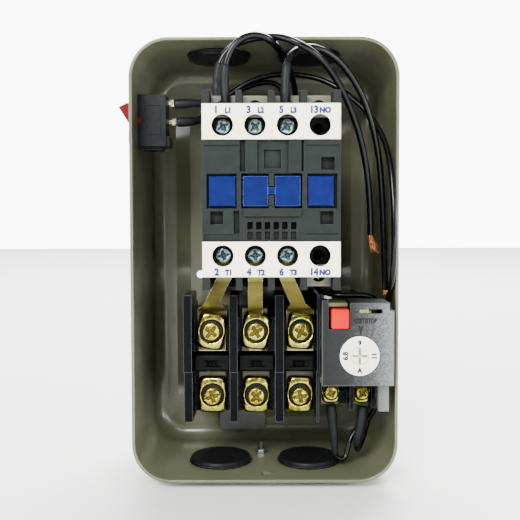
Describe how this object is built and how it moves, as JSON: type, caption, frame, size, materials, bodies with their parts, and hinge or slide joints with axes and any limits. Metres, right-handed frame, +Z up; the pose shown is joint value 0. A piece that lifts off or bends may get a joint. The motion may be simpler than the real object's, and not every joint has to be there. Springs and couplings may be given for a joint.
{
  "type": "motor starter",
  "caption": "Direct-on-line motor starter with its cover off: pressed steel case, contactor, thermal overload relay with dial and reset, rocker switch and wiring.",
  "frame": {"origin": "centre of the case's flat back face, on the wall plane", "axes": "+Z up, +X to the right seen from the front, the open front faces -Y"},
  "size_m": [0.1011, 0.0814, 0.1608],
  "materials": {
    "enclosure_paint": "gloss",
    "black_rubber": "satin",
    "zinc_steel": "zinc plated",
    "yellow_zinc": "yellow zinc plated",
    "grey_label": "satin",
    "black_plastic": "gloss",
    "red_plastic": "gloss",
    "dark_grey_plastic": "matte",
    "ivory_plastic": "matte",
    "blue_plastic": "satin",
    "core_steel": "laminated",
    "copper": "bare",
    "brass": "satin",
    "orange_plastic": "satin",
    "spring_steel": "drawn",
    "white_plastic": "matte",
    "black_insulation": "gloss",
    "dark_sleeve": "matte"
  },
  "bodies": {
    "case": {"aux_clamps": "yellow_zinc", "aux_terminal_plates": "brass", "aux_terminal_screws": "yellow_zinc", "bimetal_strips": "brass", "coil_bobbin": "white_plastic", "coil_terminal_screws": "zinc_steel", "coil_terminals": "brass", "coil_winding": "copper", "contactor_base": "dark_grey_plastic", "contactor_body": "dark_grey_plastic", "copper_strands_line1": "copper", "copper_strands_line3": "copper", "dust_cap_left": "blue_plastic", "dust_cap_right": "blue_plastic", "earth_label": "grey_label", "earth_nut": "zinc_steel", "earth_screw": "zinc_steel", "enclosure_base": "enclosure_paint", "fixed_contacts": "copper", "fixed_core": "core_steel", "grommet_bottom_left": "black_rubber", "grommet_bottom_right": "black_rubber", "grommet_top_left": "black_rubber", "grommet_top_right": "black_rubber", "heat_shrink_sleeves": "dark_sleeve", "heater_covers": "black_plastic", "latch_lever": "ivory_plastic", "link_bar_left": "brass", "link_bar_middle": "brass", "link_bar_right": "brass", "main_terminal_screws": "zinc_steel", "mounting_screws": "zinc_steel", "relay_base": "black_plastic", "relay_housing": "dark_grey_plastic", "relay_terminal_plates": "brass", "reset_spring": "spring_steel", "return_spring": "spring_steel", "rocker_housing": "black_plastic", "rocker_terminals": "zinc_steel", "saddle_clamps": "yellow_zinc", "saddle_screws": "yellow_zinc", "terminal_cover_bottom": "ivory_plastic", "terminal_cover_top": "ivory_plastic", "wire_aux_link": "black_insulation", "wire_coil_feed": "black_insulation", "wire_line1_tail": "black_insulation", "wire_line3_tail": "black_insulation", "wire_switch_coil": "black_insulation", "wire_switch_loop": "black_insulation"},
    "rocker": {"rocker_button": "red_plastic"},
    "carrier": {"contact_carrier": "blue_plastic", "moving_contacts": "copper", "contact_springs": "spring_steel", "armature_core": "core_steel"},
    "reset": {"reset_button": "orange_plastic"},
    "dial": {"setting_dial": "white_plastic", "setting_cam": "white_plastic"},
    "tripper": {"trip_bar": "white_plastic"},
    "flag": {"trip_indicator": "ivory_plastic"}
  },
  "joints": [
    {"name": "rocker_tilt", "type": "hinge", "parent": "case", "child": "rocker", "pos_m": [-0.0459, -0.0425, 0.0518], "axis": [0, 1, 0], "range_deg": [0, 30]},
    {"name": "carrier_slide", "type": "slide", "parent": "case", "child": "carrier", "axis": [0, 1, 0], "range_m": [0, 0.0055], "stiffness_N_per_m": 400, "springref_m": -0.004, "deforming": ["return_spring"]},
    {"name": "reset_press", "type": "slide", "parent": "case", "child": "reset", "axis": [0, 1, 0], "range_m": [0, 0.0025], "stiffness_N_per_m": 300, "springref_m": -0.002, "deforming": ["reset_spring"]},
    {"name": "dial_turn", "type": "hinge", "parent": "case", "child": "dial", "pos_m": [0.033, -0.06, -0.0322], "axis": [0, 1, 0], "range_deg": [-90, 90]},
    {"name": "trip_bar_slide", "type": "slide", "parent": "case", "child": "tripper", "axis": [1, 0, 0], "range_m": [0, 0.0015], "stiffness_N_per_m": 100, "springref_m": -0.001},
    {"name": "flag_slide", "type": "slide", "parent": "case", "child": "flag", "axis": [1, 0, 0], "range_m": [0, 0.0035]}
  ],
  "couplings": [
    {"joint": "flag_slide", "follows": "trip_bar_slide", "ratio": 2.3333}
  ]
}
